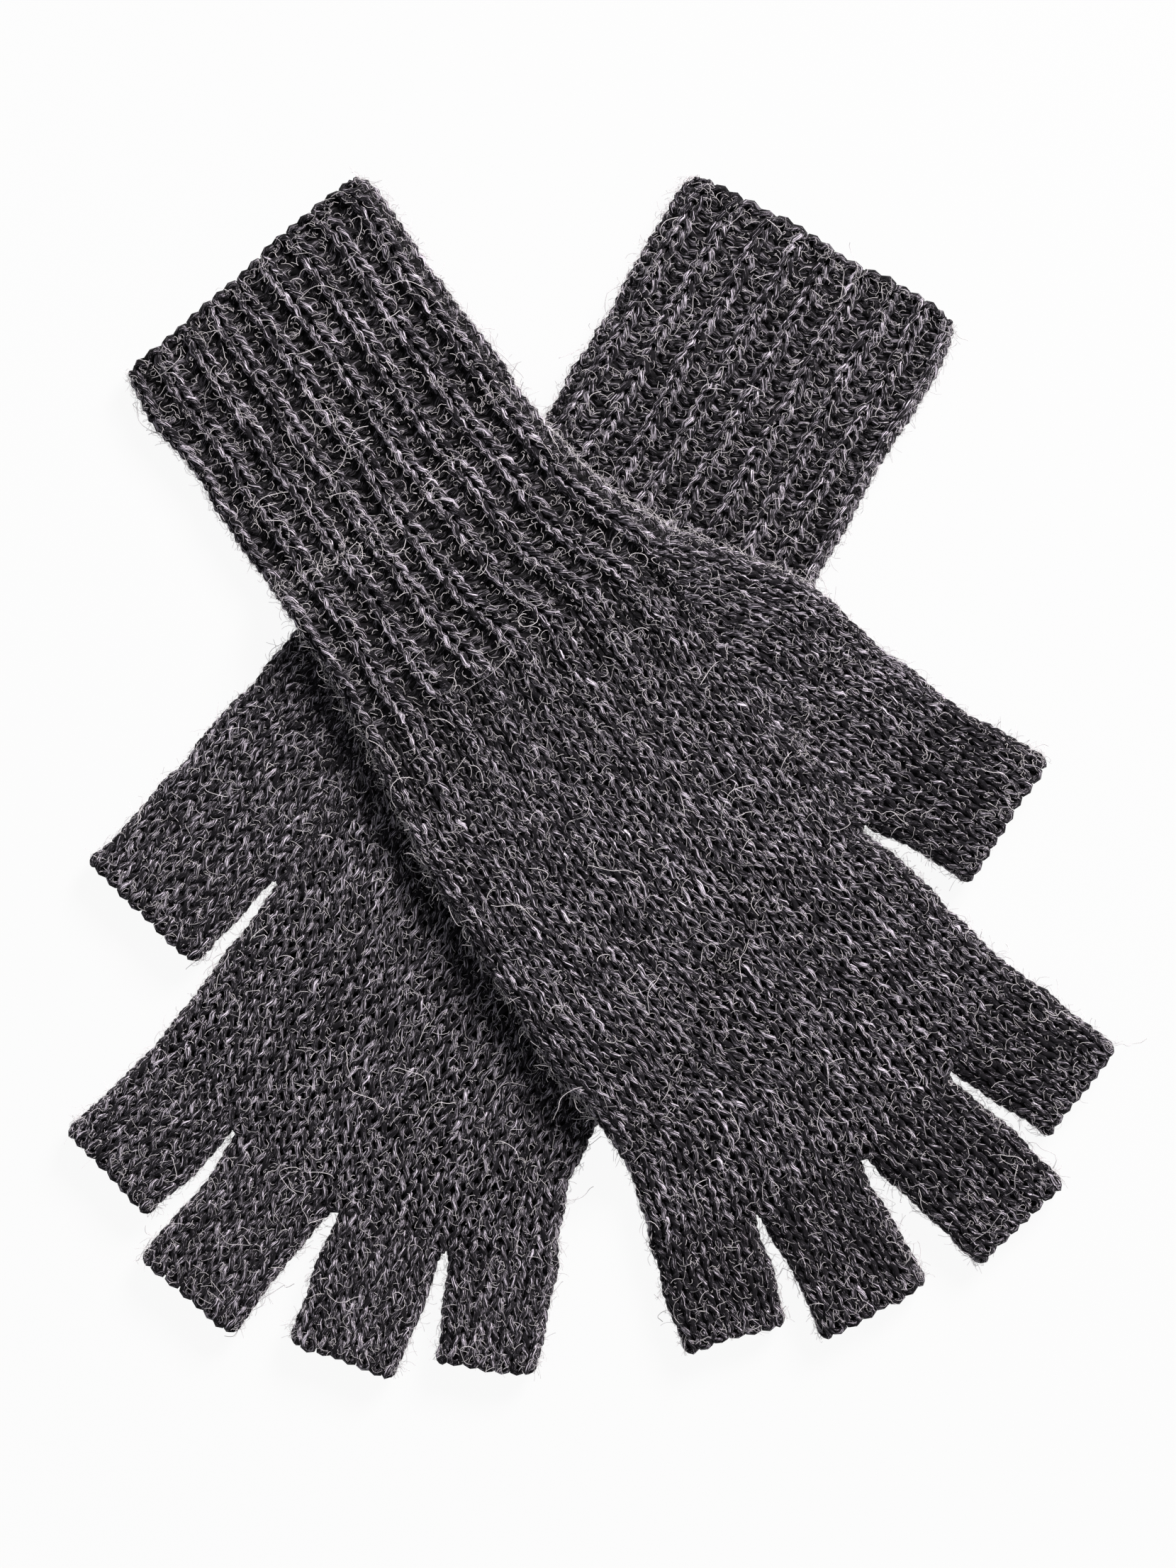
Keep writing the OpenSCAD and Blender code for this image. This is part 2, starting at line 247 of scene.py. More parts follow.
# %% Rings of points round a tube, and strips
def even_points(line, count):
    """count points at even steps of length along a line."""
    line = np.asarray(line)
    reach = np.concatenate([[0], np.cumsum(np.linalg.norm(np.diff(line, axis=0), axis=1))])
    wanted = np.linspace(0, reach[-1], count)
    return np.stack([np.interp(wanted, reach, line[:, k]) for k in (0, 1)], 1)


def closed_ring(width, closed):
    """Distance from the first edge, height and share of the ring, going round a flat tube.

    Where closed is 0, the second edge is square, as it is beside the gusset. At 1 it is a fold.
    """
    flat = width - 2 * BEND
    middle = np.linspace(0, 1, max(4, round(flat / WALE)) + 1)[1:-1]
    turn = QUARTER * math.pi / 2
    far = np.concatenate([turn, turn[1:] + math.pi / 2])
    corner_x = 1 - np.abs(1 - far / (math.pi / 2))
    corner_z = np.sign(np.round(np.cos(far), 6))
    x = [BEND * (1 - np.cos(turn)), BEND + middle * flat,
         width - BEND + BEND * (closed * np.sin(far) + (1 - closed) * corner_x),
         BEND + middle[::-1] * flat, BEND * (1 - np.sin(turn))]
    z = [BEND * np.sin(turn), np.full(len(middle), BEND),
         BEND * (closed * np.cos(far) + (1 - closed) * corner_z),
         np.full(len(middle), -BEND), -BEND * np.cos(turn)]
    bend = BEND * math.pi / 2
    arc = [QUARTER * bend, bend + middle * flat, bend + flat + np.linspace(0, 2, 9) * bend,
           3 * bend + flat + middle * flat, 3 * bend + 2 * flat + QUARTER * bend]
    arc = np.concatenate(arc)
    return np.concatenate(x), np.concatenate(z), arc / arc[-1]


def folded_strip(width):
    """The same for a strip that is open at its first edge and folds round its second one."""
    flat = width - BEND
    middle = np.linspace(0, 1, max(3, round(flat / WALE)) + 1)[:-1]
    far = np.linspace(0, math.pi, 9)
    x = [middle * flat, flat + BEND * np.sin(far), middle[::-1] * flat]
    z = [np.full(len(middle), BEND), BEND * np.cos(far), np.full(len(middle), -BEND)]
    arc = [(middle - 1) * flat - math.pi * BEND / 2, (far - math.pi / 2) * BEND,
           (1 - middle[::-1]) * flat + math.pi * BEND / 2]
    return np.concatenate(x), np.concatenate(z), np.concatenate(arc) / WALE


# %% Building a skin from its rows
def uneven(xy):
    """Small sideways wanderings in mm, one long and one short wave each way.

    No hand-made edge is straight.
    """
    x, y = xy[:, 0] / MM, xy[:, 1] / MM
    long_x = LONG_WANDER * np.sin(x / 5.1 + 1.3 * np.sin(y / 7.3))
    long_y = LONG_WANDER * np.sin(y / 4.7 + 1.1 * np.sin(x / 6.1))
    short_x = SHORT_WANDER * np.sin(y / 2.1 + 2 * np.sin(x / 3.7))
    short_y = SHORT_WANDER * np.sin(x / 2.3 + 2 * np.sin(y / 3.1))
    return xy + np.stack([long_x + short_x, long_y + short_y], 1) * MM


def resampled(values, place, wanted):
    return np.stack([np.interp(wanted, place, column) for column in values.T], 1)


def skin(name, side, first_edge, second_edge, courses, wales=None, closure=None, fan=None):
    """A section's skin, with one row for each course. Without a number of wales it is a strip."""
    rows = []
    for i, (a, b) in enumerate(zip(first_edge, second_edge)):
        length = np.linalg.norm(b - a)
        if wales:
            x, z, u = closed_ring(length - 2 * FABRIC_OUT, 1.0 if closure is None else closure[i])
            u, x = u * wales, x + FABRIC_OUT
        else:
            x, z, u = folded_strip(length - FABRIC_OUT)
        q = x / length
        xy = a + q[:, None] * (b - a)
        if fan:
            xy = xy + fan(i, q)
        height = thick / 2 + z + drape(side, xy)
        rows.append(np.column_stack([uneven(xy), height, u]))
    # Every row gets the same number of points as the longest one.
    most = max(len(row) for row in rows)
    rows = [resampled(row, np.linspace(0, 1, len(row)), np.linspace(0, 1, most)) for row in rows]
    grid = np.array(rows)
    v = np.linspace(0, courses, len(grid))
    step = v[1] - v[0]
    # One more course at either end.
    before = grid[0] - (grid[1] - grid[0]) / step
    after = grid[-1] + (grid[-1] - grid[-2]) / step
    grid = np.concatenate([[before], grid, [after]])
    grid[0, :, 3], grid[-1, :, 3] = grid[1, :, 3], grid[-2, :, 3]
    v = np.concatenate([[-1], v, [courses + 1]])
    return skin_mesh(name, side, grid, v, closed=bool(wales))


def skin_mesh(name, side, grid, v, closed):
    rows, columns = grid.shape[:2]
    kept = columns - 1 if closed else columns
    row, column = np.meshgrid(np.arange(rows - 1), np.arange(columns - 1), indexing="ij")
    corners = np.stack([[row, column], [row, column + 1], [row + 1, column + 1], [row + 1, column]], -1)
    corners = corners.reshape(2, -1, 4)
    if side == "right":
        corners = corners[:, :, ::-1]
    faces = corners[0] * kept + corners[1] % kept
    data = bpy.data.meshes.new(name)
    data.from_pydata(grid[:, :kept, :3].reshape(-1, 3).tolist(), [], faces.tolist())
    uv = np.stack([grid[corners[0], corners[1], 3], v[corners[0]]], -1)
    layer = data.uv_layers.new(name="stitches")
    layer.data.foreach_set("uv", uv.ravel())
    return data


# %% [markdown]
# ## Laying the yarn
#
# A course of knitting is one yarn that runs across the fabric in loops. Seen from the front, each
# loop leans out to the left, goes over, and comes back, so its two legs make a V, and its head
# hides behind the next course. Three waves give that path: one along the course, one up and down
# once a stitch, and one in and out twice a stitch. The tree below draws the waves on a flat plan
# that counts stitches, moves each point to the skin with Sample UV Surface, and sweeps the yarn
# along. In a rib the purl wales sink and turn their loops inside out, which a slower wave does.

# %% A small helper that makes nodes and links them
class Tree:
    """A node tree in which numbers become socket values and sockets become links."""

    def __init__(self, name, kind, inputs, outputs):
        self.tree = bpy.data.node_groups.new(name, kind)
        self.names = {}
        for label, socket, value in inputs:
            made = self.tree.interface.new_socket(label, in_out="INPUT", socket_type="NodeSocket" + socket)
            if value is not None:
                made.default_value = value
            self.names[label] = made.identifier
        for label, socket in outputs:
            self.tree.interface.new_socket(label, in_out="OUTPUT", socket_type="NodeSocket" + socket)
        self.given = self.tree.nodes.new("NodeGroupInput").outputs
        self.result = self.tree.nodes.new("NodeGroupOutput").inputs

    def node(self, kind, values=(), out=0, **settings):
        made = self.tree.nodes.new(kind)
        for key, value in settings.items():
            setattr(made, key, value)
        pairs = values.items() if isinstance(values, dict) else enumerate(values)
        for key, value in pairs:
            self.feed(made.inputs[key], value)
        return made.outputs[out]

    def geo(self, kind, values=(), out=0, **settings):
        return self.node("GeometryNode" + kind, values, out, **settings)

    def feed(self, socket, value):
        if isinstance(value, bpy.types.NodeSocket):
            self.tree.links.new(value, socket)
        elif value is not None:
            socket.default_value = value

    def math(self, operation, a, b=None, c=None):
        return self.node("ShaderNodeMath", [a, b, c], operation=operation)

    def times(self, a, b):
        return self.math("MULTIPLY", a, b)

    def sine(self, turns, operation="SINE"):
        return self.math(operation, self.times(turns, math.tau))

    def vector(self, x=0.0, y=0.0, z=0.0):
        return self.node("ShaderNodeCombineXYZ", [x, y, z])

    def parts(self, vector):
        return self.node("ShaderNodeSeparateXYZ", [vector]).node.outputs

    def scaled(self, vector, factor):
        return self.node("ShaderNodeVectorMath", {0: vector, "Scale": factor}, operation="SCALE")

    def stored(self, geometry, label, value, kind="FLOAT"):
        """The geometry, with a value kept on its points under a name."""
        feeds = {"Geometry": geometry, "Name": label, "Value": value}
        return self.geo("StoreNamedAttribute", feeds, data_type=kind, domain="POINT")

    def named(self, label, kind="FLOAT"):
        """The value that points keep under a name."""
        return self.geo("InputNamedAttribute", {"Name": label}, data_type=kind)

    def joined(self, parts):
        """Several geometries as one. The join takes its newest link first."""
        join = self.tree.nodes.new("GeometryNodeJoinGeometry")
        for part in reversed(parts):
            self.tree.links.new(part, join.inputs[0])
        return join.outputs[0]


# %% What the knitting tree is given
KNIT_INPUTS = [
    ("Skin", "Geometry", None),
    ("First Wale", "Float", 0.0),
    ("Wales", "Int", 10),
    ("First Course", "Float", 0.5),
    ("Courses", "Int", 10),
    ("Course Step", "Float", 1.0),
    ("Phase Step", "Float", 0.0),
    ("Points per Stitch", "Int", 10),
    ("Sides", "Int", 5),
    ("Yarn Radius", "Float", YARN),
    ("Lean", "Float", 0.235),
    ("Loop Height", "Float", 0.72),
    ("Loop Depth", "Float", LOOP_DEPTH),
    ("Rib", "Float", 0.0),
    ("Ridge Depth", "Float", 0.0),
    ("Ridge Repeat", "Float", 2.0),
    ("Ridge Shift", "Float", 0.5),
    ("Ridge Drop", "Float", 1.25),
    ("Ridge Courses", "Float", 1000.0),
    ("Furrow Shade", "Float", 0.0),
    ("Rope", "Float", 0.0),
    ("Ring Start", "Float", -500.0),
    ("Ring End", "Float", 500.0),
    ("Unevenness", "Float", 0.12),
    ("Seed", "Float", 0.0),
    ("Yarn", "Material", None),
]
print("inputs of the knitting tree:", len(KNIT_INPUTS))


# %% The flat plan, a straight line for each course at [wale, course]
def flat_plan(g):
    given = g.given
    start = g.vector(given["First Wale"], given["First Course"])
    lines = g.geo("MeshLine", {"Count": given["Courses"], "Start Location": start,
                                            "Offset": g.vector(0, given["Course Step"])})
    count = g.math("MULTIPLY_ADD", given["Wales"], given["Points per Stitch"], 1)
    line = g.geo("CurvePrimitiveLine", {"Start": (0, 0, 0), "End": g.vector(given["Wales"])})
    line = g.geo("ResampleCurve", {"Curve": line, "Count": count})
    plan = g.geo("InstanceOnPoints", {"Points": lines, "Instance": line})
    return g.geo("CurveToMesh", {"Curve": g.geo("RealizeInstances", [plan])})


# %% The waves that bend a course into loops
WANDER_SCALE = 0.8         # of the noise that moves the loops, in stitches
WANDER_STRETCH = 1.7       # neighbouring courses differ more than neighbouring wales
FURROW_EDGES = (0.75, -0.35)  # heights of the ridge wave at which a furrow's painted shade starts and is full
GATHER = 0.05              # wales by which a rib's plain wales spread over its purl ones
TURN_OVER = 4              # how fast a rib's loops turn inside out between two wales


def loop_waves(g, x, y, t):
    """Where a course's point goes on the plan and out of the skin, and the values it keeps."""
    given = g.given
    # Uneven hands: the loops wander and swell a little.
    place = g.vector(x, g.times(y, WANDER_STRETCH), given["Seed"])
    wander = g.node("ShaderNodeTexNoise", {"Vector": place, "Scale": WANDER_SCALE, "Detail": 1.0},
                    out="Color")
    sideways, lengthways, swell = [
        g.times(g.math("SUBTRACT", part, 0.5), given["Unevenness"]) for part in g.parts(wander)]
    # Ridges, which a rib has all along and the hand only near the wrist.
    turn = g.math("DIVIDE", g.math("SUBTRACT", x, given["Ridge Shift"]), given["Ridge Repeat"])
    wave = g.sine(turn, "COSINE")
    fade = g.node("ShaderNodeMapRange", {"Value": y, "From Min": 0.0, "From Max": given["Ridge Courses"],
                                         "To Min": 1.0, "To Max": 0.0}, interpolation_type="SMOOTHSTEP")
    sunk = g.times(g.math("SUBTRACT", wave, given["Ridge Drop"]), fade)
    # Painted shade: the furrows between ridges get a share by which the yarn's colour is darkened towards
    # black.
    painted_furrow_shade = g.node("ShaderNodeMapRange", {
        "Value": g.math("ADD", wave, lengthways), "From Min": FURROW_EDGES[0], "From Max": FURROW_EDGES[1]},
                    interpolation_type="SMOOTHSTEP")
    painted_furrow_shade = g.times(painted_furrow_shade, g.times(fade, given["Furrow Shade"]))
    # The loop's three waves: along the course, up and down, and in and out.
    twice = g.times(t, 2)
    gather = g.times(g.sine(turn), g.times(given["Rib"], GATHER))
    u = g.math("MULTIPLY_ADD", g.sine(twice), given["Lean"], g.math("ADD", x, gather))
    u = g.math("WRAP", g.math("ADD", u, sideways), given["Ring End"], given["Ring Start"])
    swing = g.times(g.sine(t, "COSINE"), given["Loop Height"])
    v = g.math("ADD", g.math("SUBTRACT", y, swing), lengthways)
    turned = g.node("ShaderNodeClamp", [g.times(wave, TURN_OVER), -1, 1])
    front = g.node("ShaderNodeMix", {0: given["Rib"], 2: 1.0, 3: turned})
    looped = g.times(g.sine(twice, "COSINE"), -1)
    twisted = g.node("ShaderNodeMix", {0: given["Rope"], 2: looped, 3: g.sine(t)})
    depth = g.times(g.times(twisted, given["Loop Depth"]), front)
    depth = g.math("MULTIPLY_ADD", sunk, given["Ridge Depth"], depth)
    return g.vector(u, v), depth, (("swell", swell), ("painted_furrow_shade", painted_furrow_shade), ("plump", looped))


# %% From the plan to the skin
COURSE_APART = 7.31  # shift of the marl between two courses, so that they don't match


def laid_on_skin(g, plan, place, yarn_along, at, depth, kept):
    """Moves the plan's points onto the skin and out of it, without those that miss the skin."""
    marked = g.stored(g.given["Skin"], "outward", g.geo("InputNormal"), "FLOAT_VECTOR")
    stitches = g.named("stitches", "FLOAT_VECTOR")
    spot, outward = [
        g.geo("SampleUVSurface", {"Mesh": marked, "Value": value, "UV Map": stitches, "Sample UV": at},
               data_type="FLOAT_VECTOR")
        for value in (place, g.named("outward", "FLOAT_VECTOR"))]
    # Keep where the yarn is before its points move.
    for label, value in (("yarn_along", yarn_along), *kept):
        plan = g.stored(plan, label, value)
    missed = g.node("FunctionNodeBooleanMath", [spot.node.outputs["Is Valid"]], operation="NOT")
    plan = g.stored(plan, "lost", missed, "BOOLEAN")
    raised = g.node("ShaderNodeVectorMath", [outward, g.vector(depth, depth, depth)], operation="MULTIPLY")
    raised = g.node("ShaderNodeVectorMath", [spot, raised], operation="ADD")
    laid = g.geo("SetPosition", {"Geometry": plan, "Position": raised})
    return g.geo("DeleteGeometry", {"Geometry": laid, "Selection": g.named("lost", "BOOLEAN")})


# %% The yarn, swept along its path
PLUMP = 0.16              # a leg is this much thicker than the yarn, and a head thinner
SWELL, BARE_YARN = 1.2, 0.94


def swept_yarn(g, laid):
    given = g.given
    strands = g.geo("MeshToCurve", {"Mesh": laid})
    size = g.math("ADD", g.times(g.named("plump"), PLUMP),
                  g.math("MULTIPLY_ADD", g.named("swell"), SWELL, BARE_YARN))
    strands = g.geo("SetCurveRadius", {"Curve": strands, "Radius": size})
    ring = g.geo("CurvePrimitiveCircle", {"Resolution": given["Sides"], "Radius": given["Yarn Radius"]})
    ring = g.stored(ring, "yarn_round", g.geo("SplineParameter", out="Factor"))
    yarn = g.geo("CurveToMesh", {"Curve": strands, "Profile Curve": ring, "Fill Caps": True})
    yarn = g.geo("SetShadeSmooth", {"Geometry": yarn})
    about = g.named("yarn_round")
    place = g.vector(g.sine(about), g.sine(about, "COSINE"), g.named("yarn_along"))
    yarn = g.stored(yarn, "yarn_place", place, "FLOAT_VECTOR")
    yarn = g.geo("RealizeInstances", [yarn])
    return g.geo("SetMaterial", {"Geometry": yarn, "Material": given["Yarn"]})


# %% The knitting tree
def knitting_tree():
    """Courses of looped yarn on a skin."""
    g = Tree("knit_courses", "GeometryNodeTree", KNIT_INPUTS, [("Knit", "Geometry")])
    plan = flat_plan(g)
    place = g.geo("InputPosition")
    x, y, _ = g.parts(place)
    course = g.math("DIVIDE", g.math("SUBTRACT", y, g.given["First Course"]), g.given["Course Step"])
    t = g.math("MULTIPLY_ADD", course, g.given["Phase Step"], x)
    yarn_along = g.math("MULTIPLY_ADD", course, COURSE_APART, t)
    laid = laid_on_skin(g, plan, place, yarn_along, *loop_waves(g, x, y, t))
    g.feed(g.result["Knit"], swept_yarn(g, laid))
    return g


knitting = knitting_tree()
print("nodes in the knitting tree:", len(knitting.tree.nodes))

# %% [markdown]
# Under the loops lies a thin dark lining, which stands for the yarn on the far side of the fabric
# and keeps light from shining through. Its near-black is partly that yarn's dark fibre and partly
# painted shade, for the shade that falls between the loops. Above the loops stands the fuzz: short
# fibres that leave the yarn at a low angle and curl. Both start from the same skin, cut to the
# same courses.

# %% The lining tree
RANGE_INPUTS = [("Skin", "Geometry", None), ("From Wale", "Float", -500.0), ("To Wale", "Float", 500.0),
                ("From Course", "Float", 0.0), ("To Course", "Float", 10.0)]
LINING_INPUTS = [*RANGE_INPUTS, ("Depth", "Float", 0.3 * MM), ("Thickness", "Float", 0.5 * MM),
                 ("Dark", "Material", None)]
WELD = 0.001 * MM


def cut_skin(g):
    """The skin's faces whose stitches lie in the given range."""
    u, v, _ = g.parts(g.named("stitches", "FLOAT_VECTOR"))
    beyond = [g.node("FunctionNodeCompare", [a, b], data_type="FLOAT", operation="LESS_THAN")
              for a, b in ((u, g.given["From Wale"]), (g.given["To Wale"], u),
                           (v, g.given["From Course"]), (g.given["To Course"], v))]
    either = [g.node("FunctionNodeBooleanMath", pair, operation="OR") for pair in (beyond[:2], beyond[2:])]
    outside = g.node("FunctionNodeBooleanMath", either, operation="OR")
    return g.geo("DeleteGeometry", {"Geometry": g.given["Skin"], "Selection": outside}, domain="FACE")


def lining_tree():
    """A closed dark shell below the loops, whose near-black is partly painted shade."""
    g = Tree("lining", "GeometryNodeTree", LINING_INPUTS, [("Lining", "Geometry")])
    sunk = g.scaled(g.geo("InputNormal"), g.times(g.given["Depth"], -1))
    outer = g.geo("SetPosition", {"Geometry": cut_skin(g), "Offset": sunk})
    inner = g.geo("ExtrudeMesh", {
        "Mesh": outer, "Offset Scale": g.times(g.given["Thickness"], -1), "Individual": False})
    shell = g.joined([outer, g.geo("FlipFaces", [inner])])
    shell = g.geo("MergeByDistance", {"Geometry": shell, "Distance": WELD})
    shell = g.geo("SetShadeSmooth", {"Geometry": shell})
    g.feed(g.result["Lining"],
           g.geo("SetMaterial", {"Geometry": shell, "Material": g.given["Dark"]}))
    return g


lining = lining_tree()
print("nodes in the lining tree:", len(lining.tree.nodes))

# %% Roots of the fuzz
FUZZ_INPUTS = [
    *RANGE_INPUTS,
    ("Density", "Float", 100000.0),
    ("Extra at Folds", "Float", 5.0),
    ("Start", "Float", 0.7 * MM),
    ("Length", "Float", 3.0 * MM),
    ("Radius", "Float", 0.042 * MM),
    ("Points", "Int", 5),
    ("Lowest Tilt", "Float", 0.1),
    ("Highest Tilt", "Float", 1.0),
    ("Curl", "Float", 1.2 * MM),
    ("Curl Scale", "Float", 300.0),
    ("Seed", "Int", 0),
    ("Fibre", "Material", None),
]
FOLD_EDGES = (0.75, 0.1)   # steepness of the skin at which a fold's extra fuzz starts and is full
UNDERSIDE = -0.5           # a skin that faces further down than this loses part of its fuzz
UNDERSIDE_LOSS = 0.75
ARCS = (5.2, 3.0, 1.6, 0.6)  # the sweeps of the four shapes of fibre, in radians
FIBRE_SIZES = (0.4, 1.1)   # the smallest size and how much larger the largest is


def fuzz_roots(g):
    """Points over the skin, with three random numbers kept on each."""
    given = g.given
    spread = g.tree.nodes.new("GeometryNodeDistributePointsOnFaces")
    g.feed(spread.inputs["Mesh"], cut_skin(g))
    # Folds show more fuzz, since there it stands out to the side.
    upward = g.parts(g.geo("InputNormal"))[2]
    at_fold = g.node("ShaderNodeMapRange", {"Value": g.math("ABSOLUTE", upward), "From Min": FOLD_EDGES[0],
                                            "From Max": FOLD_EDGES[1]})
    share = g.math("MULTIPLY_ADD", at_fold, given["Extra at Folds"], 1)
    below = g.math("MULTIPLY_ADD", g.math("LESS_THAN", upward, UNDERSIDE), -UNDERSIDE_LOSS, 1)
    g.feed(spread.inputs["Density"], g.times(given["Density"], g.times(share, below)))
    g.feed(spread.inputs["Seed"], given["Seed"])
    lifted = g.scaled(spread.outputs["Normal"], given["Start"])
    roots = g.geo("SetPosition", {"Geometry": spread.outputs["Points"], "Offset": lifted})
    chance = g.node("FunctionNodeRandomValue", {0: (0, 0, 0), 1: (1, 1, 1), "Seed": given["Seed"]},
                    data_type="FLOAT_VECTOR")
    return g.stored(roots, "shake", chance, "FLOAT_VECTOR"), spread.outputs["Rotation"], chance


# %% Fibres on their roots
def fuzz_fibres(g, roots, rotation, chance):
    """An arc on each root, tilted, turned and sized by chance."""
    given = g.given
    a, b, c = g.parts(chance)
    tilt = g.node("ShaderNodeMix", {0: a, 2: given["Lowest Tilt"], 3: given["Highest Tilt"]})
    lean = g.node("FunctionNodeEulerToRotation", [g.vector(tilt, 0, g.times(b, math.tau))])
    turned = g.node("FunctionNodeRotateRotation", [rotation, lean], rotation_space="LOCAL")
    shapes = g.tree.nodes.new("GeometryNodeGeometryToInstance")
    for sweep in ARCS:
        radius = g.math("DIVIDE", given["Length"], sweep)
        arc = g.geo("CurveArc", {"Resolution": given["Points"], "Radius": radius, "Start Angle": 0.0,
                                              "Sweep Angle": sweep})
        to_root = g.vector(g.times(radius, -1))
        arc = g.geo("Transform", {"Geometry": arc, "Translation": to_root})
        g.tree.links.new(arc, shapes.inputs[0])
    which = g.node("FunctionNodeRandomValue", {"Min": 0, "Max": len(ARCS) - 1, "Seed": given["Seed"]}, out=2,
                   data_type="INT")
    size = g.math("MULTIPLY_ADD", g.times(c, c), FIBRE_SIZES[1], FIBRE_SIZES[0])
    fibres = g.geo("InstanceOnPoints", {
        "Points": roots, "Instance": shapes.outputs[0], "Pick Instance": True, "Instance Index": which,
        "Rotation": turned, "Scale": g.vector(size, size, size)})
    return g.geo("RealizeInstances", [fibres])


# %% The fuzz tree
APART = 91.0               # how far apart in the noise two fibres curl
ABOVE_TABLE = 0.06 * MM
TAPER = 0.6                # share of its thickness that a fibre loses by its tip


def fuzz_tree():
    """Curling, tapering fibres over a skin."""
    g = Tree("fuzz", "GeometryNodeTree", FUZZ_INPUTS, [("Fuzz", "Geometry")])
    given = g.given
    fibres = fuzz_fibres(g, *fuzz_roots(g))
    share = g.geo("SplineParameter")
    place = g.geo("InputPosition")
    at = g.node("ShaderNodeVectorMath", [g.scaled(place, given["Curl Scale"]),
                                         g.scaled(g.named("shake", "FLOAT_VECTOR"), APART)], operation="ADD")
    noise = g.node("ShaderNodeTexNoise", {"Vector": at, "Scale": 1.0, "Detail": 0.0}, out="Color")
    curl = g.node("ShaderNodeVectorMath", {0: noise, 1: (0.5, 0.5, 0.5)}, operation="SUBTRACT")
    curl = g.scaled(curl, g.times(g.times(share, 2), given["Curl"]))
    fibres = g.geo("SetPosition", {"Geometry": fibres, "Offset": curl})
    x, y, z = g.parts(place)
    above = g.vector(x, y, g.math("MAXIMUM", z, ABOVE_TABLE))
    fibres = g.geo("SetPosition", {"Geometry": fibres, "Position": above})
    thinned = g.math("MULTIPLY_ADD", share, -TAPER, 1)
    fibres = g.geo("SetCurveRadius", {"Curve": fibres, "Radius": thinned})
    ring = g.geo("CurvePrimitiveCircle", {"Resolution": 3, "Radius": given["Radius"]})
    fibres = g.geo("CurveToMesh", {"Curve": fibres, "Profile Curve": ring, "Fill Caps": True})
    fibres = g.geo("SetShadeSmooth", {"Geometry": g.geo("RealizeInstances", [fibres])})
    g.feed(g.result["Fuzz"],
           g.geo("SetMaterial", {"Geometry": fibres, "Material": given["Fibre"]}))
    return g


fuzz = fuzz_tree()
print("nodes in the fuzz tree:", len(fuzz.tree.nodes))

# %% The section tree: lining, loops and fuzz together
SECTION_INPUTS = [*KNIT_INPUTS, ("Lining Depth", "Float", 0.35 * MM), ("Fuzz Density", "Float", 290000.0),
                  ("Stray Density", "Float", 7000.0), ("Fibre", "Material", None), ("Dark", "Material", None)]
STRAY = {"Length": 9 * MM, "Points": 13, "Radius": 0.07 * MM, "Curl": 4 * MM, "Curl Scale": 200.0,
         "Lowest Tilt": 0.0, "Highest Tilt": 0.4}
STRAY_SEED = 50  # added to a section's seed, so that its strays don't follow its fuzz


def section_tree():
    """One section of the glove: its loops, its lining, its fuzz and its long stray fibres."""
    g = Tree("knitted_section", "GeometryNodeTree", SECTION_INPUTS, [("Knit", "Geometry")])
    given = g.given
    first = g.math("SUBTRACT", given["First Course"], 0.5)
    span = {"Skin": given["Skin"], "From Wale": given["First Wale"],
            "To Wale": g.math("ADD", given["First Wale"], given["Wales"]),
            "From Course": first, "To Course": g.math("ADD", first, given["Courses"])}
    loops = {label: given[label] for label, _, _ in KNIT_INPUTS}
    shell = {**span, "Depth": given["Lining Depth"], "Dark": given["Dark"]}
    short = {**span, "Density": given["Fuzz Density"], "Seed": given["Seed"], "Fibre": given["Fibre"]}
    stray = {**span, "Density": given["Stray Density"], "Seed": g.math("ADD", given["Seed"], STRAY_SEED),
             "Fibre": given["Fibre"], **STRAY}
    parts = [g.geo("Group", feeds, node_tree=inner.tree)
             for inner, feeds in ((knitting, loops), (lining, shell), (fuzz, short), (fuzz, stray))]
    g.feed(g.result["Knit"], g.joined(parts))
    return g


section = section_tree()
print("nodes in the section tree:", len(section.tree.nodes))


# %% Growing a tree's result into a plain mesh
def grow(name, data, grower, **values):
    """Runs a tree on a mesh and keeps the result as a plain mesh object."""
    source = bpy.data.objects.new(name + "_source", data)
    put_in_scene(source)
    modifier = source.modifiers.new("grow", "NODES")
    modifier.node_group = grower.tree
    for label, value in values.items():
        modifier[grower.names[label.replace("_", " ")]] = value
    evaluated = source.evaluated_get(bpy.context.evaluated_depsgraph_get())
    grown = bpy.data.meshes.new_from_object(evaluated)
    bpy.data.objects.remove(source)
    grown.name = name
    made = bpy.data.objects.new(name, grown)
    put_in_scene(made)
    return made


# %% [markdown]
# ## The yarn's material
#
# Marled wool is spun from black and pale grey fibres. Up close each leg of a stitch shows a few
# pale streaks on near-black, a millimetre or two long, turning slowly round the yarn with its
# twist. The streaks come from a noise that is stretched along the yarn, read from the attribute
# that the knitting tree leaves on every point. A slower noise makes some stretches of yarn paler.

# %% The marl, streaks of pale fibre
STREAKS_ROUND = 4.8      # the more, the narrower the streaks
PATCH_SHARE = 0.35       # how slowly the pale stretches follow each other, against the streaks
PATCH_WEIGHT = 0.3
NO_STREAKS = 0.72        # level of the noise that hardly any streak reaches
STREAK_EDGES = (0.03, 0.11)


